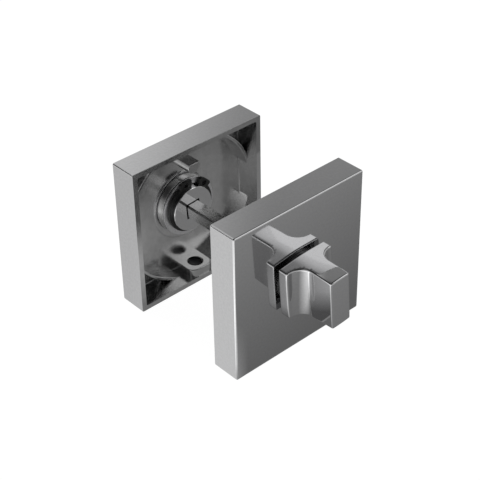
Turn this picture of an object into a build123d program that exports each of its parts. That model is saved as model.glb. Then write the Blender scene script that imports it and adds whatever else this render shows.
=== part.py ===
from build123d import *
from math import cos, radians, sin
import os

# Bathroom turn and release set, in millimetres. A thumb turn inside the room and a coin
# release outside it are joined through the door by one square spindle. +Y runs along the
# spindle from the turn to the release and +Z is up. The origin is on the spindle's axis,
# in the face that the turn side's rose rests on the door with.

# The door, the spindle and the square rose that both sides share
door_thickness = 35.0
spindle_side = 5.0
spindle_chamfer = 0.45
rose_side = 52.0
rose_depth = 10.0
rose_wall = 1.8
rose_plate = 1.2
rose_corner_round = 0.6
rose_edge_chamfer = 0.4
cavity_corner_round = 1.0

# What is cast inside the rose
rib_inner_radius = 25.0
rib_thickness = 1.2
rib_below_rim = 4.7
boss_radius = 10.2
boss_height = 1.5
boss_foot_radius = 12.3
boss_foot_height = 0.3
boss_foot_slope = 0.9
post_radius = 2.4
post_centre_height = 16.6
post_flat_height = 17.8
post_below_rim = 2.5
screw_boss_width = 9.5
screw_boss_height = 3.0
screw_boss_corner = 2.8
screw_boss_below_rim = 0.2
screw_below_rim = 4.6

# How far the turn, the spindle and the release are turned at rest, anticlockwise from
# upright as seen by who works the thumb turn
rest_angle = 4.0

# The turning stem, which is the same on both sides
stem_radius = 7.75
stem_running_clearance = 0.06
stem_end_below_rim = 4.0
stem_end_chamfer = 0.3
socket_clearance = 0.3
socket_below_back = 0.3
spindle_end_gap = 0.6
stand_off = 1.0
groove_radius = 7.35
groove_width = 1.1
groove_below_rim = 5.15

# The thumb turn's T section and the release's coin disc
turn_height = 18.1
flange_width = 18.9
flange_thickness = 3.5
flange_land = 0.95
grip_thickness = 7.6
turn_projection = 17.0
turn_corner_round = 0.5
turn_edge_chamfer = 0.35
turn_socket_depth = 2.2
disc_radius = 10.0
disc_thickness = 3.3
disc_edge_chamfer = 0.4
coin_slot_length = 16.0
coin_slot_width = 2.0
coin_slot_depth = 1.8

# Washers, retaining ring and grub screw
washer_clearance = 0.15
thrust_washer_radius = 8.85
flat_washer_radius = 10.3
flat_washer_thickness = 0.5
spring_washer_radius = 10.0
spring_washer_thickness = 0.3
ring_thickness = 1.0
ring_inner_radius = 7.4
ring_outer_radius = 8.8
ring_offset = 0.3
ring_gap_angle = 70.0
ring_gap_half_angle = 10.5
ring_lug_angle = 30.0
ring_lug_radius = 10.5
ring_lug_corner = 0.8
ring_hole_radius = 0.85
ring_hole_at = 9.0
grub_radius = 2.75
grub_length = 4.0
grub_below_wall = 0.3
grub_thread_clearance = 0.05
grub_key_size = 3.0
grub_key_depth = 2.0
grub_cup_depth = 0.7
grub_cup_floor = 0.7
grub_cup_lip = 0.2

# How far a solid runs into the one that it joins or past the one that it cuts
overlap = 0.2

# Levels that follow from these, in the frame of one side: x to the right and y up as seen
# from the door, z out of the open back, with zero in the door face.
face_level = -rose_depth
floor_level = face_level + rose_plate
boss_level = floor_level + boss_height
cavity_side = rose_side - 2 * rose_wall
turn_back_level = face_level - stand_off
stem_end_level = -stem_end_below_rim
ring_level = -groove_below_rim - groove_width / 2 - ring_thickness / 2
flat_washer_level = ring_level - flat_washer_thickness
spindle_start_level = turn_back_level - turn_socket_depth
release_socket_end = turn_back_level - socket_below_back
spindle_length = door_thickness - release_socket_end - spindle_end_gap - spindle_start_level
screw_hole_length = rose_wall + screw_boss_height + 2 * overlap

turn_side = Plane(origin=(0, 0, 0), x_dir=(-1, 0, 0), z_dir=(0, 1, 0))
release_side = Plane(origin=(0, door_thickness, 0), x_dir=(1, 0, 0), z_dir=(0, -1, 0))


def upright(sketch, low, high):
    """Extrude a sketch from one level to another along z."""
    return extrude(Pos(0, 0, low) * sketch, high - low)


def rose_shell():
    """Square box, open towards the door, with its outer edges polished off."""
    block = upright(RectangleRounded(rose_side, rose_side, rose_corner_round), face_level, 0)
    block = chamfer(block.faces().sort_by(Axis.Z)[0].edges(), rose_edge_chamfer)
    cavity = RectangleRounded(cavity_side, cavity_side, cavity_corner_round)
    return block - upright(cavity, floor_level, overlap)


def corner_ribs():
    """Arc ribs across the four corners, parts of one circle cut off by the walls."""
    ring = Circle(rib_inner_radius + rib_thickness) - Circle(rib_inner_radius)
    across = Rectangle(cavity_side + overlap, cavity_side + overlap)
    return upright(ring & across, floor_level - overlap, -rib_below_rim)


def stem_boss():
    """Round boss with a stepped, sloping foot that the stem's washers bear on."""
    buried_level = floor_level - overlap
    foot_level = floor_level + boss_foot_height
    foot = ((0, buried_level), (boss_foot_radius, buried_level), (boss_foot_radius, foot_level))
    slope = ((boss_radius + boss_foot_slope, foot_level), (boss_radius, foot_level + boss_foot_slope))
    profile = Polyline(*foot, *slope, (boss_radius, boss_level), (0, boss_level), close=True)
    return revolve(Plane.XZ * make_face(profile), Axis.Z)


def locating_post():
    """Post with a flat on top that finds its hole in the door's fixing plate."""
    disc = Pos(0, post_centre_height) * Circle(post_radius)
    width = 4 * post_radius
    below_flat = Pos(0, post_flat_height - width / 2) * Rectangle(width, width)
    return upright(disc & below_flat, floor_level - overlap, -post_below_rim)


def screw_boss():
    """Block on the lower wall that the upright grub screw is tapped through."""
    top = -screw_boss_below_rim
    depth = top - floor_level + overlap
    outline = Pos(0, top - depth / 2) * Rectangle(screw_boss_width, depth)
    outline = fillet(outline.vertices().group_by(Axis.Y)[-1], screw_boss_corner)
    wall_top = -cavity_side / 2
    standing = Plane(origin=(0, wall_top - overlap, 0), x_dir=(-1, 0, 0), z_dir=(0, 1, 0))
    return extrude(standing * outline, screw_boss_height + overlap)


def grub_axis(height):
    """Place on the grub screw's axis, facing up, at a height above the rose's lower edge."""
    place = (0, height - rose_side / 2, -screw_below_rim)
    return Plane(origin=place, x_dir=(1, 0, 0), z_dir=(0, 1, 0))


def rose():
    """The whole casting of one rose."""
    casting = rose_shell() + corner_ribs() + stem_boss() + locating_post() + screw_boss()
    bore = upright(Circle(stem_radius + stem_running_clearance), face_level - overlap, 0)
    hole = grub_axis(-overlap) * Circle(grub_radius + grub_thread_clearance)
    tapped_hole = extrude(hole, screw_hole_length)
    return casting - bore - tapped_hole


def stem(from_level):
    """Round stem with the groove for its retaining ring, up to its polished end."""
    bar = upright(Circle(stem_radius), from_level, stem_end_level)
    bar = chamfer(bar.faces().sort_by(Axis.Z)[-1].edges(), stem_end_chamfer)
    groove_top = -groove_below_rim
    groove = Circle(stem_radius + overlap) - Circle(groove_radius)
    return bar - upright(groove, groove_top - groove_width, groove_top)


def thumb_turn():
    """T section drawn along the turn's height, with its stem and square socket."""
    flange_half = flange_width / 2
    grip_half = grip_thickness / 2
    sweep_radius = flange_half - flange_land - grip_half
    flange_top = turn_back_level - flange_thickness
    end = face_level - turn_projection
    half = Polyline((0, turn_back_level), (flange_half, turn_back_level), (flange_half, flange_top),
                    (flange_half - flange_land, flange_top))
    sweep_arc = RadiusArc((flange_half - flange_land, flange_top), (grip_half, flange_top - sweep_radius),
                          -sweep_radius)
    grip = Polyline((grip_half, flange_top - sweep_radius), (grip_half, end), (0, end))
    half_section = make_face(half + sweep_arc + grip + Line((0, end), (0, turn_back_level)))
    section = half_section + mirror(half_section, Plane.YZ)
    body = extrude(Plane.XZ * section, turn_height / 2, both=True)
    body = fillet(body.edges().filter_by(Axis.Y).group_by(Axis.Z)[0], turn_corner_round)
    body = chamfer(body.faces().filter_by(Axis.Y).edges(), turn_edge_chamfer)
    socket = upright(Rectangle(spindle_side, spindle_side), spindle_start_level, stem_end_level)
    return body + stem(turn_back_level) - socket


def release_disc():
    """Round disc with a coin slot, turned in one piece with its stem and square socket."""
    outer_level = turn_back_level - disc_thickness
    disc = upright(Circle(disc_radius), outer_level, turn_back_level)
    disc = chamfer(disc.faces().sort_by(Axis.Z)[0].edges(), disc_edge_chamfer)
    slot = SlotOverall(coin_slot_length, coin_slot_width)
    slot = upright(slot, outer_level - overlap, outer_level + coin_slot_depth)
    socket_side = spindle_side + 2 * socket_clearance
    socket = upright(Rectangle(socket_side, socket_side), release_socket_end, stem_end_level)
    return disc - slot + stem(turn_back_level) - socket


def spindle():
    """Square bar, pressed into the turn and free to slide in the release."""
    bar = Rectangle(spindle_side, spindle_side)
    bar = chamfer(bar.vertices(), spindle_chamfer)
    return upright(bar, spindle_start_level, spindle_start_level + spindle_length)


def washer(radius, low, high):
    """Flat ring round the stem."""
    return upright(Circle(radius) - Circle(stem_radius + washer_clearance), low, high)


def spring_washer():
    """Ring bent to one arc, which takes up the play between the boss and the flat washer."""
    room = flat_washer_level - boss_level
    rise = room - spring_washer_thickness
    bend_radius = (spring_washer_radius ** 2 + rise ** 2) / (2 * rise)
    centre_level = flat_washer_level - bend_radius
    sheet = Circle(bend_radius) - Circle(bend_radius - spring_washer_thickness)
    sheet = extrude(Plane.XZ * Pos(0, centre_level) * sheet, 2 * spring_washer_radius, both=True)
    return sheet & washer(spring_washer_radius, boss_level - overlap, flat_washer_level + overlap)


def around(radius, angle):
    """Point on a circle round the stem's axis, at an angle in degrees."""
    return radius * cos(radians(angle)), radius * sin(radians(angle))


def ring_lug(middle):
    """Lug at one end of the retaining ring, its far corners rounded."""
    start = middle - ring_lug_angle / 2
    end = middle + ring_lug_angle / 2
    outline = Line(around(ring_inner_radius, start), around(ring_lug_radius, start))
    outer_ends = (around(ring_lug_radius, start), around(ring_lug_radius, end))
    outline += RadiusArc(*outer_ends, -ring_lug_radius)
    outline += Line(around(ring_lug_radius, end), around(ring_inner_radius, end))
    inner_ends = (around(ring_inner_radius, end), around(ring_inner_radius, start))
    outline += RadiusArc(*inner_ends, ring_inner_radius)
    lug = make_face(outline)
    far_corners = lug.vertices().sort_by_distance((0, 0))[2:]
    return fillet(far_corners, ring_lug_corner)


def retaining_ring():
    """Open ring in the stem's groove, wider towards the gap between its two lugs."""
    reach = 2 * ring_outer_radius
    gap_corners = (around(reach, -ring_gap_half_angle), around(reach, ring_gap_half_angle))
    gap = make_face(Polyline((0, 0), *gap_corners, close=True))
    plate = Pos(ring_offset, 0) * Circle(ring_outer_radius) - Circle(ring_inner_radius) - gap
    lug_at = ring_gap_half_angle + ring_lug_angle / 2
    for middle in (lug_at, -lug_at):
        plier_hole = Pos(*around(ring_hole_at, middle)) * Circle(ring_hole_radius)
        plate = plate + ring_lug(middle) - plier_hole
    return upright(Rot(0, 0, ring_gap_angle) * plate, ring_level, ring_level + ring_thickness)


def grub_screw():
    """Set screw with a hexagon socket below and a cup point above."""
    body = extrude(grub_axis(grub_below_wall) * Circle(grub_radius), grub_length)
    key = RegularPolygon(grub_key_size / 2, 6, major_radius=False)
    key_hole = extrude(grub_axis(grub_below_wall) * key, grub_key_depth)
    cup = Cone(grub_cup_floor, grub_radius - grub_cup_lip, grub_cup_depth,
               align=(Align.CENTER, Align.CENTER, Align.MAX))
    return body - key_hole - grub_axis(grub_below_wall + grub_length) * cup


def still_pieces(side_name):
    """What stays with the door on one side, by node name, in the frame of that side."""
    return {
        f"{side_name}_rose": rose(),
        f"{side_name}_grub_screw": grub_screw(),
        f"{side_name}_thrust_washer": washer(thrust_washer_radius, turn_back_level, face_level),
        f"{side_name}_spring_washer": spring_washer(),
        f"{side_name}_flat_washer": washer(flat_washer_radius, flat_washer_level, ring_level),
    }


# What turns with the spindle on each side, by node name, in the frame of that side
turn_pieces = {
    "thumb_turn": thumb_turn(),
    "spindle": spindle(),
    "turn_retaining_ring": retaining_ring(),
}
release_pieces = {
    "release_disc": release_disc(),
    "release_retaining_ring": retaining_ring(),
}
turned_to_rest = Rot(0, -rest_angle, 0)

os.makedirs("parts", exist_ok=True)
sides = (("turn", turn_side, turn_pieces), ("release", release_side, release_pieces))
for side_name, side, turning_pieces in sides:
    for node, shape in still_pieces(side_name).items():
        export_step(side * shape, f"parts/{node}.step")
    for node, shape in turning_pieces.items():
        export_step(turned_to_rest * (side * shape), f"parts/{node}.step")
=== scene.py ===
from math import cos, pi, radians, sin

import bmesh
import bpy
from mathutils import Euler, Matrix, Vector


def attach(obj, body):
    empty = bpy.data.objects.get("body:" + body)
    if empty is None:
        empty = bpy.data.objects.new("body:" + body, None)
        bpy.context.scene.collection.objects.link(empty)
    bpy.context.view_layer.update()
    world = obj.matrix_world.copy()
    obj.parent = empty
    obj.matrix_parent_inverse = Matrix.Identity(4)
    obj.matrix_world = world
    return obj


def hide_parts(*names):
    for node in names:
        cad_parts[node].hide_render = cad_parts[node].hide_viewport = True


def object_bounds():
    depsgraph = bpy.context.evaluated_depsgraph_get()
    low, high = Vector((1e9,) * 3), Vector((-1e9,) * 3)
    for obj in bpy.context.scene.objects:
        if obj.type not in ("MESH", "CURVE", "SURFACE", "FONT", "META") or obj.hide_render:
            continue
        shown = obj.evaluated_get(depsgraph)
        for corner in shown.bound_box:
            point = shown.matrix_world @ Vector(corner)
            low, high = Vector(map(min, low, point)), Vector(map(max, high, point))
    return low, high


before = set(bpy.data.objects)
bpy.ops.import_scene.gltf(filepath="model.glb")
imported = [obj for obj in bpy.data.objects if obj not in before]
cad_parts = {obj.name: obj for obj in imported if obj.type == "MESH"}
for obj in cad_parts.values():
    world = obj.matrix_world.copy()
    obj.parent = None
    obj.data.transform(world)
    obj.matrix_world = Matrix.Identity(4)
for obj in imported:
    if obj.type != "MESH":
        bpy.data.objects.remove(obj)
cad_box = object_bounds()

# The square rose of each side is one zinc die casting. Its outside is buffed and chrome plated
# to a mirror. The hollow back keeps the skin of the casting under the same plate: four corner
# ribs, the boss that the stem turns in, a locating post and the block of the grub screw.
mm = 0.001              # all sizes are in millimetres
depth, height = 1, 2    # Y runs from the turn to the release, and Z is up
touch = 0.01            # two places this close count as one
sunk = 0.4              # how deep a part of the casting starts in the one that carries it
past = 1.0              # how far a cutter runs past what it cuts
rose_half = 26.0
rose_face = -10.0
rose_corner = 0.6
rose_edge = 0.58        # just under rose_corner, so that the two roundings meet cleanly
rim_edge = 0.12
rose_floor = -8.8
cavity_half = 24.2
cavity_corner = 0.6
cavity_root = 0.5
rib_inner = 25.0
rib_outer = 26.2
rib_top = -4.7
rib_edge = 0.35
foot_radius = 12.3
foot_top = -8.5
foot_edge = 0.2
boss_radius = 10.2
boss_top = -7.3
boss_edge = 0.25
post_radius = 2.4
post_height = 16.6
post_flat = 17.8
post_top = -2.5
post_edge = 0.2
block_half = 4.75
block_height = -21.2
block_corner = 2.8
block_top = -0.2
block_edge = 0.35
screw_depth = -4.6
stem_bore = 7.81
screw_hole = 2.5
thread_pitch = 1.0
thread_reach = 0.48
thread_crest = 0.06     # half the flat on a thread's crest
thread_steps = 32
hole_thread_root = 0.15
hole_thread_base = 0.44
hole_thread_start = -0.6
hole_thread_end = 5.4
noise_low = 0.3         # the range that a noise texture mostly stays in
noise_high = 0.7
crisp_angle = 40
flat_angle = 1
door_thickness = 35.0
across = Matrix.Translation((0, door_thickness * mm, 0)) @ Matrix.Rotation(pi, 4, "Z")

grain_group = bpy.data.node_groups.new("surface_grain", "ShaderNodeTree")
for socket, kind in (("Place", "NodeSocketVector"), ("Fineness", "NodeSocketFloat"),
                     ("Low", "NodeSocketFloat"), ("High", "NodeSocketFloat")):
    grain_group.interface.new_socket(socket, in_out="INPUT", socket_type=kind)
for socket in ("Grain", "Value"):
    grain_group.interface.new_socket(socket, in_out="OUTPUT", socket_type="NodeSocketFloat")
grain_in = grain_group.nodes.new("NodeGroupInput")
grain_out = grain_group.nodes.new("NodeGroupOutput")
grain_noise = grain_group.nodes.new("ShaderNodeTexNoise")
grain_noise.inputs["Detail"].default_value = 3
grain_range = grain_group.nodes.new("ShaderNodeMapRange")
grain_range.inputs["From Min"].default_value = noise_low
grain_range.inputs["From Max"].default_value = noise_high
grain_group.links.new(grain_in.outputs["Place"], grain_noise.inputs["Vector"])
grain_group.links.new(grain_in.outputs["Fineness"], grain_noise.inputs["Scale"])
grain_group.links.new(grain_noise.outputs["Fac"], grain_range.inputs["Value"])
grain_group.links.new(grain_in.outputs["Low"], grain_range.inputs["To Min"])
grain_group.links.new(grain_in.outputs["High"], grain_range.inputs["To Max"])
grain_group.links.new(grain_noise.outputs["Fac"], grain_out.inputs["Grain"])
grain_group.links.new(grain_range.outputs["Result"], grain_out.inputs["Value"])


def finish(name, colors, metallic, roughness, fineness, relief, stretch=(1, 1, 1)):
    """A finish whose colour, roughness and relief follow a fine grain. The fineness is in bumps a
    metre, the relief in metres, and the stretch draws the grain out along an axis."""
    material = bpy.data.materials.new(name)
    material.use_nodes = True
    parts, links = material.node_tree.nodes, material.node_tree.links
    shader = parts["Principled BSDF"]
    shader.inputs["Metallic"].default_value = metallic
    place = parts.new("ShaderNodeTexCoord")
    mapping = parts.new("ShaderNodeMapping")
    mapping.inputs["Scale"].default_value = stretch
    grain = parts.new("ShaderNodeGroup")
    grain.node_tree = grain_group
    grain.inputs["Fineness"].default_value = fineness
    grain.inputs["Low"].default_value, grain.inputs["High"].default_value = roughness
    tone = parts.new("ShaderNodeValToRGB")
    for element, position, color in zip(tone.color_ramp.elements, (noise_low, noise_high), colors):
        element.position = position
        element.color = (*color, 1)
    bump = parts.new("ShaderNodeBump")
    bump.inputs["Distance"].default_value = relief
    links.new(place.outputs["Object"], mapping.inputs["Vector"])
    links.new(mapping.outputs["Vector"], grain.inputs["Place"])
    links.new(grain.outputs["Value"], shader.inputs["Roughness"])
    links.new(grain.outputs["Grain"], tone.inputs["Fac"])
    links.new(tone.outputs["Color"], shader.inputs["Base Color"])
    links.new(grain.outputs["Grain"], bump.inputs["Height"])
    links.new(bump.outputs["Normal"], shader.inputs["Normal"])
    return material


polished_chrome = finish("polished_chrome", ((0.54, 0.54, 0.545), (0.58, 0.58, 0.585)), 1,
                         (0.03, 0.07), 1300, 0.3e-6)
cast_chrome = finish("cast_chrome", ((0.48, 0.48, 0.48), (0.56, 0.56, 0.56)), 1,
                     (0.17, 0.24), 420, 1e-6)


def placed(name):
    """Name the piece just added and put its place into its mesh."""
    piece = bpy.context.object
    piece.name = piece.data.name = name
    bpy.ops.object.transform_apply(location=True, rotation=True, scale=True)
    return piece


def block(name, low, high):
    """Square block between its lowest and its highest corner."""
    bpy.ops.object.select_all(action="DESELECT")
    low, high = Vector(low) * mm, Vector(high) * mm
    bpy.ops.mesh.primitive_cube_add(size=1, location=(low + high) / 2, scale=high - low)
    return placed(name)


def rod(name, radius, start, end, place=(0, 0), along="Y", sides=128):
    """Round bar along Y or Z between two levels, at its place in the other two directions."""
    bpy.ops.object.select_all(action="DESELECT")
    middle = (start + end) / 2
    centre = (place[0], middle, place[1]) if along == "Y" else (place[0], place[1], middle)
    bpy.ops.mesh.primitive_cylinder_add(vertices=sides, radius=radius * mm,
                                        depth=abs(end - start) * mm, location=Vector(centre) * mm,
                                        rotation=(pi / 2 if along == "Y" else 0, 0, 0))
    return placed(name)


def select_edges(piece, wanted):
    """In edit mode, select the edges whose two ends, in millimetres, pass a test."""
    bpy.ops.object.select_all(action="DESELECT")
    bpy.context.view_layer.objects.active = piece
    piece.select_set(True)
    bpy.ops.object.mode_set(mode="EDIT")
    bpy.ops.mesh.select_mode(type="EDGE")
    bpy.ops.mesh.select_all(action="DESELECT")
    mesh = bmesh.from_edit_mesh(piece.data)
    for edge in mesh.edges:
        edge.select_set(bool(wanted(*(end.co / mm for end in edge.verts))))
    bmesh.update_edit_mesh(piece.data)


def round_edges(piece, radius, wanted, steps=4):
    """Round the edges that pass a test, or chamfer them where there is one step."""
    select_edges(piece, wanted)
    bpy.ops.mesh.bevel(offset=radius * mm, segments=steps, profile=0.5, affect="EDGES",
                       clamp_overlap=False)
    bpy.ops.object.mode_set(mode="OBJECT")


def combine(piece, other, how):
    """Join another piece to this one, or cut this one by it. The other piece is used up."""
    step = piece.modifiers.new(how, "BOOLEAN")
    step.operation = how
    step.solver = "EXACT"
    step.object = other
    bpy.context.view_layer.objects.active = piece
    bpy.ops.object.modifier_apply(modifier=step.name)
    bpy.data.objects.remove(other)


def both_at(axis, level, start, end):
    """Whether both ends of an edge lie at a level along an axis."""
    return abs(start[axis] - level) < touch and abs(end[axis] - level) < touch


def runs_along(axis, start, end):
    """Whether an edge runs straight along an axis."""
    return all(abs(start[i] - end[i]) < touch for i in range(3) if i != axis)


def thread_ridge(name, root, crest, base, low, high):
    """Helical ridge of a screw thread round the grub screw's axis, from one height to another. It
    reaches from its root radius to its crest radius, and its base is half its width at the root."""
    turns = round((high - low) / thread_pitch, 3)
    bpy.ops.object.select_all(action="DESELECT")
    bpy.ops.mesh.primitive_plane_add(size=1)
    ridge = placed(name)
    corners = ((root, -base), (root, base), (crest, -thread_crest), (crest, thread_crest))
    in_order = sorted(ridge.data.vertices, key=lambda vertex: (vertex.co.x, vertex.co.y))
    for vertex, (reach, rise) in zip(in_order, corners):
        vertex.co = Vector((reach, 0, low + rise)) * mm
    select_edges(ridge, lambda a, b: True)
    bpy.ops.mesh.delete(type="ONLY_FACE")
    bpy.ops.object.mode_set(mode="OBJECT")
    coil = ridge.modifiers.new("coil", "SCREW")
    coil.angle = 2 * pi * turns
    coil.screw_offset = (high - low) * mm
    coil.steps = coil.render_steps = round(thread_steps * turns)
    bpy.ops.object.modifier_apply(modifier=coil.name)
    select_edges(ridge, lambda a, b: False)
    bpy.ops.mesh.select_non_manifold()
    bpy.ops.mesh.edge_face_add()
    bpy.ops.mesh.select_all(action="SELECT")
    bpy.ops.mesh.normals_make_consistent(inside=False)
    bpy.ops.object.mode_set(mode="OBJECT")
    ridge.location = Vector((0, screw_depth, 0)) * mm
    return placed(name)


def shade(piece, *materials):
    """Give a piece its finishes, smooth but with crisp edges, flats true to their plane."""
    piece.data.materials.clear()
    for material in materials:
        piece.data.materials.append(material)
    bpy.ops.object.select_all(action="DESELECT")
    bpy.context.view_layer.objects.active = piece
    piece.select_set(True)
    bpy.ops.object.shade_smooth_by_angle(angle=radians(crisp_angle))
    weigh = piece.modifiers.new("weigh", "WEIGHTED_NORMAL")
    weigh.keep_sharp = True
    bpy.ops.object.modifier_apply(modifier=weigh.name)


def install(piece, node, body):
    """Let a piece ride on its body, in the place of its plain node."""
    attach(piece, body)
    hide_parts(node)


def copy_across(piece, name):
    """The same piece on the release side, facing the other way."""
    twin = piece.copy()
    twin.data = piece.data.copy()
    twin.name = twin.data.name = name
    bpy.context.scene.collection.objects.link(twin)
    twin.data.transform(across)
    return twin


casting = block("turn_rose_casting", (-rose_half, rose_face, -rose_half), (rose_half, 0, rose_half))
round_edges(casting, rose_corner, lambda a, b: runs_along(depth, a, b), steps=8)
round_edges(casting, rose_edge, lambda a, b: both_at(depth, rose_face, a, b), steps=5)
round_edges(casting, rim_edge, lambda a, b: both_at(depth, 0, a, b), steps=2)
cavity = block("cavity", (-cavity_half, rose_floor, -cavity_half), (cavity_half, past, cavity_half))
round_edges(cavity, cavity_corner, lambda a, b: runs_along(depth, a, b), steps=6)
round_edges(cavity, cavity_root, lambda a, b: both_at(depth, rose_floor, a, b), steps=5)
combine(casting, cavity, "DIFFERENCE")
ribs = rod("ribs", rib_outer, rose_floor - sunk, rib_top, sides=192)
combine(ribs, rod("core", rib_inner, rose_floor - past, 0, sides=192), "DIFFERENCE")
round_edges(ribs, rib_edge, lambda a, b: both_at(depth, rib_top, a, b), steps=5)
walls = cavity_half + sunk
combine(ribs, block("walls", (-walls, rose_floor - past, -walls), (walls, 0, walls)), "INTERSECT")
combine(casting, ribs, "UNION")
boss = rod("boss", foot_radius, rose_floor - sunk, foot_top)
round_edges(boss, foot_edge, lambda a, b: both_at(depth, foot_top, a, b), steps=3)
upper_boss = rod("upper_boss", boss_radius, rose_floor, boss_top)
round_edges(upper_boss, boss_edge, lambda a, b: both_at(depth, boss_top, a, b))
combine(boss, upper_boss, "UNION")
combine(casting, boss, "UNION")
post = rod("post", post_radius, rose_floor - sunk, post_top, (0, post_height), sides=64)
combine(post, block("flat", (-post_radius - past, rose_floor - past, post_flat),
                    (post_radius + past, 0, post_height + post_radius + past)), "DIFFERENCE")
round_edges(post, post_edge, lambda a, b: both_at(depth, post_top, a, b))
combine(casting, post, "UNION")
screw_block = block("screw_block", (-block_half, rose_floor - sunk, -cavity_half - sunk),
                    (block_half, block_top, block_height))
round_edges(screw_block, block_corner,
            lambda a, b: both_at(depth, block_top, a, b) and runs_along(height, a, b), steps=12)
round_edges(screw_block, block_edge,
            lambda a, b: both_at(height, block_height, a, b) and max(a.y, b.y) > rose_floor)
combine(casting, screw_block, "UNION")
combine(casting, rod("bore", stem_bore, rose_face - past, past), "DIFFERENCE")
combine(casting, rod("hole", screw_hole, -rose_half - past, block_height + past,
                     (0, screw_depth), along="Z", sides=64), "DIFFERENCE")
combine(casting, thread_ridge("thread", screw_hole - hole_thread_root, screw_hole + thread_reach,
                              hole_thread_base, -rose_half + hole_thread_start,
                              -rose_half + hole_thread_end), "DIFFERENCE")
shade(casting, polished_chrome, cast_chrome)
for face in casting.data.polygons:
    x, y, z = face.center / mm
    in_hollow = max(abs(x), abs(z)) < cavity_half + touch and y > rose_floor - touch
    face.material_index = 1 if in_hollow else 0
release_casting = copy_across(casting, "release_rose_casting")
install(casting, "turn_rose", "turn_base")
install(release_casting, "release_rose", "release_base")

# The thumb turn is cast in zinc in one piece with its stem, which passes through the rose and
# has a groove near its end for the retaining ring. Its T section is buffed by hand, so its
# faces are slightly crowned and roll off towards their edges. The spindle is pressed in it.
turn_half = 9.05
turn_back = -11.0
back_edge = 0.3
flange_half = 9.45
flange_front = -14.5
flange_edge = 0.6
grip_half = 3.8
grip_end = -27.0
grip_edge = 0.55
sweep = 4.7
crown = 0.12            # the upper and lower faces fall by this much from their middle
crown_half = 4.0
flange_roll = 0.33      # and by this much more over the flange
end_roll = 0.31         # and by this much towards the grip's end
end_roll_start = -15.0
side_roll = 0.22        # the sides fall by this much towards the upper and lower faces
side_roll_start = 2.0
side_roll_end = 9.0
tip_roll = 0.15         # and by this much towards the grip's end
tip_roll_start = -20.0
stem_radius = 7.75
stem_end = -4.0
stem_chamfer = 0.12
groove_radius = 7.35
groove_start = -6.25
groove_end = -5.15
spindle_half = 2.5
spindle_start = -13.2
cut_spacing = 0.75
rest_angle = -4.0


def cut_in_strips(piece, axes, low, high, spacing):
    """Cut all faces by evenly spaced planes square to some axes, so that they can be curved."""
    select_edges(piece, lambda a, b: True)
    for axis in axes:
        count = round((high[axis] - low[axis]) / spacing)
        for step in range(1, count):
            level = low[axis] + (high[axis] - low[axis]) * step / count
            bpy.ops.mesh.select_all(action="SELECT")
            bpy.ops.mesh.bisect(plane_co=[level * mm if i == axis else 0 for i in range(3)],
                                plane_no=[1 if i == axis else 0 for i in range(3)])
    bpy.ops.object.mode_set(mode="OBJECT")


def roll_off(place, start, end, drop, power=3):
    """How far a buffed face has fallen at a place, on its way to its full drop at the end."""
    return drop * max(0.0, (place - start) / (end - start)) ** power


def stem(name):
    """Turned stem with a chamfered end and the groove of the retaining ring."""
    bar = rod(name, stem_radius, turn_back - past, stem_end)
    round_edges(bar, stem_chamfer, lambda a, b: both_at(depth, stem_end, a, b), steps=1)
    groove = rod("groove", stem_radius + past, groove_start, groove_end)
    combine(groove, rod("groove_root", groove_radius, groove_start - past, groove_end + past), "DIFFERENCE")
    combine(bar, groove, "DIFFERENCE")
    return bar


def turn_to_rest(piece):
    """Turn a piece round the spindle's axis to the angle that the set is left at."""
    piece.data.transform(Matrix.Rotation(radians(rest_angle), 4, "Y"))


turn = block("thumb_turn_casting", (-flange_half, flange_front, -turn_half),
             (flange_half, turn_back, turn_half))
combine(turn, block("grip", (-grip_half, grip_end, -turn_half), (grip_half, turn_back - past, turn_half)),
        "UNION")
select_edges(turn, lambda a, b: True)
bpy.ops.mesh.dissolve_limited(angle_limit=radians(flat_angle))
bpy.ops.object.mode_set(mode="OBJECT")
round_edges(turn, sweep, lambda a, b: both_at(depth, flange_front, a, b)
            and abs(abs(a.x) - grip_half) < touch and abs(abs(b.x) - grip_half) < touch, steps=20)
round_edges(turn, grip_edge, lambda a, b: both_at(depth, grip_end, a, b)
            and runs_along(height, a, b), steps=5)
round_edges(turn, flange_edge, lambda a, b: both_at(depth, flange_front, a, b)
            and runs_along(height, a, b) and abs(a.x) > flange_half - touch, steps=5)
round_edges(turn, back_edge, lambda a, b: both_at(depth, turn_back, a, b) and runs_along(height, a, b))
for level in (turn_half, -turn_half):
    round_edges(turn, grip_edge, lambda a, b: both_at(height, level, a, b), steps=5)
cut_in_strips(turn, (0, 1, 2), (-flange_half, grip_end, -turn_half), (flange_half, turn_back, turn_half),
              cut_spacing)
for vertex in turn.data.vertices:
    x, y, z = vertex.co / mm
    ends = (roll_off(y, end_roll_start, grip_end, end_roll)
            + roll_off(min(abs(x), crown_half), 0, crown_half, crown, 2)
            + roll_off(abs(x), crown_half, flange_half, flange_roll, 1))
    sides = (roll_off(abs(z), side_roll_start, side_roll_end, side_roll)
             + roll_off(y, tip_roll_start, grip_end, tip_roll, 2))
    vertex.co.z -= z * ends / turn_half * mm
    vertex.co.x -= x * sides / flange_half * mm
combine(turn, stem("turn_stem"), "UNION")
combine(turn, block("socket", (-spindle_half, spindle_start, -spindle_half),
                    (spindle_half, 0, spindle_half)), "DIFFERENCE")
turn_to_rest(turn)
shade(turn, polished_chrome)
install(turn, "thumb_turn", "turn")

# The release is the same stem with a flat round head, turned from brass bar and chrome plated.
# Its face has a slot that a coin fits, milled with a round cutter, so that its ends are round.
# The spindle slides in its square socket, which lets the set fit doors of other thicknesses.
disc_radius = 10.0
disc_face = -14.3
disc_edge = 0.4
disc_back_edge = 0.15
slot_half_length = 8.0
slot_half_width = 1.0
slot_end_round = 0.999    # just under half the width, so that the two rounds don't meet
slot_floor = -12.5
slot_floor_edge = 0.15
slot_lip = 0.12
release_socket_half = 2.8
release_socket_end = -11.3

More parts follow.
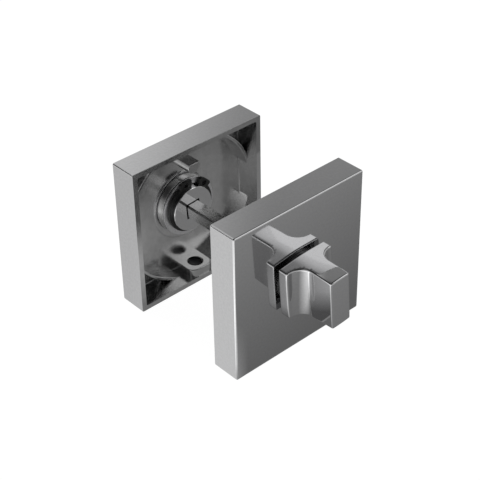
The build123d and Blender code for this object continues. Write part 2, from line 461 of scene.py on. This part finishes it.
disc = rod("release_disc_turned", disc_radius, disc_face, turn_back, sides=192)
round_edges(disc, disc_edge, lambda a, b: both_at(depth, disc_face, a, b), steps=5)
round_edges(disc, disc_back_edge, lambda a, b: both_at(depth, turn_back, a, b), steps=2)
coin_slot = block("coin_slot", (-slot_half_length, disc_face - past, -slot_half_width),
                  (slot_half_length, slot_floor, slot_half_width))
round_edges(coin_slot, slot_end_round, lambda a, b: runs_along(depth, a, b), steps=12)
round_edges(coin_slot, slot_floor_edge, lambda a, b: both_at(depth, slot_floor, a, b), steps=3)
combine(disc, coin_slot, "DIFFERENCE")
round_edges(disc, slot_lip, lambda a, b: both_at(depth, disc_face, a, b)
            and max(a.xz.length, b.xz.length) < slot_half_length + touch, steps=3)
combine(disc, stem("release_stem"), "UNION")
combine(disc, block("release_socket", (-release_socket_half, release_socket_end, -release_socket_half),
                    (release_socket_half, 0, release_socket_half)), "DIFFERENCE")
disc.data.transform(across)
turn_to_rest(disc)
shade(disc, polished_chrome)
install(disc, "release_disc", "release")

# The thrust washers are cut from black nylon sheet. One lies between the turn and the face of
# its rose and one between the release and its rose, so that metal never rubs on the chrome.
washer_bore = 7.9
thrust_radius = 8.85
thrust_edge = 0.1
skin_gap = 0.002

black_nylon = finish("black_nylon", ((0.03, 0.03, 0.031), (0.04, 0.04, 0.041)), 0,
                     (0.22, 0.3), 1500, 0.4e-6)


def washer(name, radius, low, high, edge):
    """Flat ring round the stem with slightly rounded edges."""
    ring = rod(name, radius, low, high)
    combine(ring, rod("bore", washer_bore, low - past, high + past), "DIFFERENCE")
    round_edges(ring, edge, lambda a, b: both_at(depth, low, a, b) or both_at(depth, high, a, b), steps=3)
    return ring


def install_pair(piece, kind):
    """Give a piece to the turn side, and a copy of it to the release side."""
    twin = copy_across(piece, f"release_{kind}_made")
    install(piece, f"turn_{kind}", "turn_base")
    install(twin, f"release_{kind}", "release_base")


thrust_washer = washer("turn_thrust_washer_made", thrust_radius, turn_back + skin_gap,
                       rose_face - skin_gap, thrust_edge)
shade(thrust_washer, black_nylon)
install_pair(thrust_washer, "thrust_washer")

# Behind each boss lies a spring washer, punched from thin spring steel and bent to one arc. It
# takes up the play of the stem, so that the turn stays where it is left.
spring_radius = 10.0
spring_thickness = 0.3
spring_top = -6.7
spring_edge = 0.06
spring_bend = 166.8
bend_spacing = 1.0

spring_steel = finish("spring_steel", ((0.3, 0.3, 0.31), (0.42, 0.42, 0.43)), 1,
                      (0.2, 0.35), 900, 3e-6)

spring_washer = washer("turn_spring_washer_made", spring_radius, spring_top - spring_thickness,
                       spring_top, spring_edge)
cut_in_strips(spring_washer, (0,), (-spring_radius, 0, 0), (spring_radius, 0, 0), bend_spacing)
for vertex in spring_washer.data.vertices:
    vertex.co.y -= vertex.co.x ** 2 / (2 * spring_bend * mm)
shade(spring_washer, spring_steel)
install_pair(spring_washer, "spring_washer")

# The flat washers are punched from bright zinc plated steel. Each lies between the spring
# washer and the retaining ring, and gives the ring a true face to bear on.
flat_radius = 10.3
flat_start = spring_top
flat_end = -6.2
flat_edge = 0.1

zinc_plate = finish("zinc_plate", ((0.6, 0.6, 0.61), (0.7, 0.7, 0.71)), 1, (0.25, 0.36), 700, 3e-6)

flat_washer = washer("turn_flat_washer_made", flat_radius, flat_start + skin_gap,
                     flat_end - skin_gap, flat_edge)
shade(flat_washer, zinc_plate)
install_pair(flat_washer, "flat_washer")

# The retaining rings are stamped from spring steel and phosphated deep black. Each snaps into
# the groove of its stem and is opened by pliers in the two holes of its lugs.
ring_start = flat_end
ring_end = -5.2
ring_edge = 0.1
merge_within = 0.001

black_steel = finish("black_steel", ((0.006, 0.006, 0.006), (0.012, 0.012, 0.012)), 0,
                     (0.35, 0.5), 2000, 3e-6)

for side, start, end in (("turn", ring_start, ring_end),
                         ("release", door_thickness - ring_start, door_thickness - ring_end)):
    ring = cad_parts[f"{side}_retaining_ring"].copy()
    ring.data = ring.data.copy()
    ring.parent = None
    ring.name = ring.data.name = f"{side}_retaining_ring_stamped"
    bpy.context.scene.collection.objects.link(ring)
    select_edges(ring, lambda a, b: True)
    bpy.ops.mesh.remove_doubles(threshold=merge_within * mm)
    bpy.ops.mesh.dissolve_limited(angle_limit=radians(flat_angle))
    bpy.ops.object.mode_set(mode="OBJECT")
    round_edges(ring, ring_edge, lambda a, b: both_at(depth, start, a, b) or both_at(depth, end, a, b),
                steps=3)
    shade(ring, black_steel)
    install(ring, f"{side}_retaining_ring", side)

# The spindle is a length of bright drawn square steel with its long edges broken, sawn to length
# and lightly chamfered at its ends. The turn's end is pressed in, the other end slides.
spindle_end = 45.7
spindle_corner = 0.6
spindle_chamfer = 0.3

drawn_steel = finish("drawn_steel", ((0.52, 0.52, 0.52), (0.6, 0.6, 0.6)), 1,
                     (0.2, 0.3), 700, 2e-6, stretch=(1, 0.15, 1))

spindle = block("spindle_bar", (-spindle_half, spindle_start, -spindle_half),
                (spindle_half, spindle_end, spindle_half))
round_edges(spindle, spindle_corner, lambda a, b: runs_along(depth, a, b), steps=1)
round_edges(spindle, spindle_chamfer, lambda a, b: both_at(depth, spindle_end, a, b)
            or both_at(depth, spindle_start, a, b), steps=1)
turn_to_rest(spindle)
shade(spindle, drawn_steel)
install(spindle, "spindle", "turn")

# The grub screws are socket set screws of blackened alloy steel with a cup point. They stand in
# the tapped blocks of the roses and bite on the fixing plates, driven from below by a hexagon key.
screw_low = -25.7
screw_high = -21.7
screw_core = 2.4
screw_chamfer = 0.25
screw_thread_root = 0.35
screw_thread_base = 0.38
thread_clearance = 0.1
thread_runout = 0.6
key_radius = 1.732
key_depth = 2.0
cup_radius = 2.2
cup_depth = 0.7

blackened_steel = finish("blackened_steel", ((0.03, 0.03, 0.032), (0.06, 0.06, 0.062)), 1,
                         (0.3, 0.45), 1500, 4e-6)

screw = rod("turn_grub_screw_made", screw_core, screw_low, screw_high,
            (0, screw_depth), along="Z", sides=96)
round_edges(screw, screw_chamfer, lambda a, b: both_at(height, screw_low, a, b)
            or both_at(height, screw_high, a, b), steps=1)
combine(screw, thread_ridge("screw_thread", screw_core - screw_thread_root,
                            screw_hole + thread_reach - thread_clearance, screw_thread_base,
                            screw_low + thread_runout, screw_high - thread_runout), "UNION")
combine(screw, rod("key", key_radius, screw_low - past, screw_low + key_depth,
                   (0, screw_depth), along="Z", sides=6), "DIFFERENCE")
bpy.ops.object.select_all(action="DESELECT")
bpy.ops.mesh.primitive_cone_add(vertices=96, radius1=0, radius2=2 * cup_radius * mm,
                                depth=2 * cup_depth * mm, location=(0, screw_depth * mm, screw_high * mm))
combine(screw, placed("cup"), "DIFFERENCE")
shade(screw, blackened_steel)
install_pair(screw, "grub_screw")

# The set stands on a plain white floor just below its roses. To the camera and in metal the
# floor shines as white paper does, with a faint shadow. Other light finds a pale matt floor.
floor_side = 12         # in metres
floor_gap = 0.05
floor_color = (0.85, 0.85, 0.85, 1)
shadow_color = (0.2, 0.2, 0.2, 1)
paper_white = 0.97
floor_level = cad_box[0][2] - floor_gap * mm

bpy.ops.object.select_all(action="DESELECT")
bpy.ops.mesh.primitive_plane_add(size=floor_side, location=(0, 0, floor_level))
floor = bpy.context.object
floor.name = "floor"
floor_paint = bpy.data.materials.new("white_floor")
floor_paint.use_nodes = True
parts, links = floor_paint.node_tree.nodes, floor_paint.node_tree.links
parts.remove(parts["Principled BSDF"])
lit = parts.new("ShaderNodeBsdfDiffuse")
lit.inputs["Color"].default_value = floor_color
faint = parts.new("ShaderNodeBsdfDiffuse")
faint.inputs["Color"].default_value = shadow_color
white = parts.new("ShaderNodeEmission")
white.inputs["Strength"].default_value = paper_white
seen = parts.new("ShaderNodeAddShader")
links.new(faint.outputs["BSDF"], seen.inputs[0])
links.new(white.outputs["Emission"], seen.inputs[1])
path = parts.new("ShaderNodeLightPath")
in_sight = path.outputs["Is Camera Ray"]
for kind in ("Is Glossy Ray", "Is Transmission Ray"):
    either = parts.new("ShaderNodeMath")
    either.operation = "MAXIMUM"
    links.new(in_sight, either.inputs[0])
    links.new(path.outputs[kind], either.inputs[1])
    in_sight = either.outputs["Value"]
choice = parts.new("ShaderNodeMixShader")
links.new(in_sight, choice.inputs["Fac"])
links.new(lit.outputs["BSDF"], choice.inputs[1])
links.new(seen.outputs["Shader"], choice.inputs[2])
links.new(choice.outputs["Shader"], parts["Material Output"].inputs["Surface"])
floor.data.materials.append(floor_paint)

# Flat cards that glow lie on the floor around the roses. They are dark in front of and under the set, as
# painted shade where the floor would lie in the set's own shadow, and bright at the left, as painted light.
# Only metal mirrors them, so they are painted reflections that give the chrome its tones.
card_lift = 0.02
front_line = -10.3      # where the cards before and behind the front rose's face meet
left_line = -25.8       # where those at the left and under the set meet


def painted_light_card(name, low, high, direction, near, far, spot=None, spot_edge=None):
    """Glowing card between two corners, seen only in metal, whose painted tone goes from near to far along
    a direction, each given as a distance and a tone. A bright spot of painted light is given by its centre,
    radius and tone, and the edge at which it comes in by a direction and two distances."""
    bpy.ops.object.select_all(action="DESELECT")
    low, high = Vector((*low, 0)) * mm, Vector((*high, 0)) * mm
    middle = (low + high) / 2 + Vector((0, 0, floor_level + card_lift * mm))
    bpy.ops.mesh.primitive_plane_add(size=1, location=middle)
    sheet = bpy.context.object
    sheet.scale = (high.x - low.x, high.y - low.y, 1)
    sheet.name = name
    paint = bpy.data.materials.new(name)
    paint.use_nodes = True
    parts, links = paint.node_tree.nodes, paint.node_tree.links
    parts.remove(parts["Principled BSDF"])
    place = parts.new("ShaderNodeNewGeometry").outputs["Position"]

    def fade(kind, vector, start, end):
        """Change from a value at one distance to a value at another."""
        measure = parts.new("ShaderNodeVectorMath")
        measure.operation = kind
        measure.inputs[1].default_value = vector
        change = parts.new("ShaderNodeMapRange")
        change.inputs["From Min"].default_value, change.inputs["To Min"].default_value = start
        change.inputs["From Max"].default_value, change.inputs["To Max"].default_value = end
        links.new(place, measure.inputs[0])
        links.new(measure.outputs["Value"], change.inputs["Value"])
        return change.outputs["Result"]

    total = parts.new("ShaderNodeMath")
    total.operation = "MULTIPLY_ADD"
    total.inputs[0].default_value, total.inputs[1].default_value = 0, 1
    links.new(fade("DOT_PRODUCT", Vector(direction) / mm, near, far), total.inputs[2])
    if spot:
        centre, radius, tone = spot
        centre = Vector((*centre, floor_level / mm)) * mm
        links.new(fade("DISTANCE", centre, (0, tone), (radius * mm, 0)), total.inputs[0])
    if spot_edge:
        towards, start, end = spot_edge
        links.new(fade("DOT_PRODUCT", Vector(towards) / mm, (start, 0), (end, 1)), total.inputs[1])
    # the card's tone is an emission, painted light and shade that stands in for a lit or shaded floor, not
    # a lamp
    shine = parts.new("ShaderNodeEmission")
    links.new(total.outputs["Value"], shine.inputs["Strength"])
    links.new(shine.outputs["Emission"], parts["Material Output"].inputs["Surface"])
    sheet.data.materials.append(paint)
    # hidden from the camera, from shadows and from diffuse light, so that only reflections show the painted
    # tones
    sheet.visible_camera = sheet.visible_shadow = sheet.visible_diffuse = False


# painted shade of the floor in the set's shadow, darkest at the front rose's foot, with a painted pool of
# light at the far left
painted_light_card("front_painted_light_and_shade_card", low=(-46, -260), high=(260, front_line), direction=(-0.15, -1, 0),
     near=(10, 0.18), far=(70, 0.36), spot=((-45, -10), 42, 1.1), spot_edge=((-1, -0.877, 0), 30, 43))
# painted shade of the floor under and between the roses, in their shadow, with a paler painted patch at its
# left
painted_light_card("middle_painted_shade_card", low=(left_line, front_line), high=(260, 44), direction=(0, 1, 0),
     near=(0, 0.28), far=(1, 0.28), spot=((-14, 10), 24, 0.35))
# a painted pool of light on the floor at the left, brighter than white paper, which the polished edges
# mirror as white lines
painted_light_card("left_painted_light_card", low=(-110, -110), high=(-46.2, -12), direction=(-1, 0, 0),
     near=(50, 1.7), far=(105, 1.0))
# painted light on the floor behind and left of the set, brighter towards the front left, with a brighter
# painted pool beyond an edge
painted_light_card("back_left_painted_light_card", low=(-110, front_line), high=(left_line, 140), direction=(1.14, 1, 0),
     near=(-30, 0.86), far=(12, 0.72), spot=((-60, -5), 60, 1.2), spot_edge=((-1.14, -1, 0), 41, 46))

# One weak lamp stands at the front right. The rest of the light comes from a studio tent, bright
# at its foot and dark overhead, with soft round glows and two dark zones that the faces mirror.
# A tone is given by its elevation and value, a zone by azimuth, elevation, two radii and strength.
lamp_place = Vector((0.57, -0.58, 0.59))    # this and the next in metres
lamp_side = 0.2
lamp_power = 0.03
tent_tones = ((0, 0.7), (20, 0.5), (35, 0.31), (50, 0.28), (58, 0.16), (68, 0.05), (90, 0.04))
dark_zones = ((-138.7, 36, 12, 32, 0.85), (-48, 22, 20, 38, 0.92))
glows = ((5, 32, 24, 32.5, 0.47), (135.5, 36, 5, 15, 1.0), (-41.2, 31.7, 1, 5, 2.5))

bpy.ops.object.light_add(type="AREA", location=lamp_place)
lamp = bpy.context.object
lamp.name = "soft_lamp"
lamp.data.size = lamp_side
lamp.data.energy = lamp_power
lamp.rotation_euler = (-lamp_place).to_track_quat("-Z", "Y").to_euler()

world = bpy.data.worlds.new("studio")
bpy.context.scene.world = world
world.use_nodes = True
parts, links = world.node_tree.nodes, world.node_tree.links
direction = parts.new("ShaderNodeTexCoord")
upwards = parts.new("ShaderNodeSeparateXYZ")
links.new(direction.outputs["Generated"], upwards.inputs["Vector"])
tent = parts.new("ShaderNodeValToRGB")
for position, (angle, tone) in enumerate(tent_tones):
    if position > 1:
        tent.color_ramp.elements.new(sin(radians(angle)))
    tent.color_ramp.elements[position].position = sin(radians(angle))
    tent.color_ramp.elements[position].color = (tone, tone, tone, 1)
links.new(upwards.outputs["Z"], tent.inputs["Fac"])


def round_zone(azimuth, elevation, inner, outer, middle, rim):
    """Soft round zone of the tent, with a value inside its inner radius and one outside its outer
    radius. Its place and radii are in degrees, the azimuth from +Y towards +X."""
    turned, raised = radians(azimuth), radians(elevation)
    towards = parts.new("ShaderNodeVectorMath")
    towards.operation = "DOT_PRODUCT"
    towards.inputs[1].default_value = (sin(turned) * cos(raised), cos(turned) * cos(raised), sin(raised))
    fade = parts.new("ShaderNodeMapRange")
    fade.interpolation_type = "SMOOTHSTEP"
    fade.inputs["From Min"].default_value = cos(radians(outer))
    fade.inputs["From Max"].default_value = cos(radians(inner))
    fade.inputs["To Min"].default_value, fade.inputs["To Max"].default_value = rim, middle
    links.new(direction.outputs["Generated"], towards.inputs[0])
    links.new(towards.outputs["Value"], fade.inputs["Value"])
    return fade.outputs["Result"]


tent_light = tent.outputs["Color"]
for kind, zones in (("MULTIPLY", dark_zones), ("ADD", glows)):
    for *place, strength in zones:
        middle, rim = (1 - strength, 1) if kind == "MULTIPLY" else (strength, 0)
        change = parts.new("ShaderNodeMath")
        change.operation = kind
        links.new(tent_light, change.inputs[0])
        links.new(round_zone(*place, middle, rim), change.inputs[1])
        tent_light = change.outputs["Value"]
links.new(tent_light, parts["Background"].inputs["Strength"])
parts["Background"].inputs["Color"].default_value = (1, 1, 1, 1)

# The camera looks down on the set from its front left through a long lens. Its aim is a point
# behind the front rose, and the picture is 480 x 480 pixels.
picture_side = 480
sensor_width = 36
focal_pixels = 1293.7
camera_aim = Vector((-9.021, 6.503, 9.021)) * mm
camera_distance = 385.9 * mm
camera_elevation = radians(35.73)
camera_azimuth = radians(-41.52)
camera_roll = radians(-1.2)
camera_nearest = 10 * mm

camera_turn = Euler((pi / 2 - camera_elevation, 0, camera_azimuth)).to_matrix()
camera_turn = camera_turn @ Matrix.Rotation(camera_roll, 3, "Z")
camera_place = camera_aim + camera_turn @ Vector((0, 0, camera_distance))
bpy.ops.object.camera_add(location=camera_place, rotation=camera_turn.to_euler())
camera = bpy.context.object
camera.data.sensor_width = sensor_width
camera.data.lens = focal_pixels / picture_side * sensor_width
camera.data.clip_start = camera_nearest
bpy.context.scene.camera = camera
bpy.context.scene.view_settings.view_transform = "Standard"
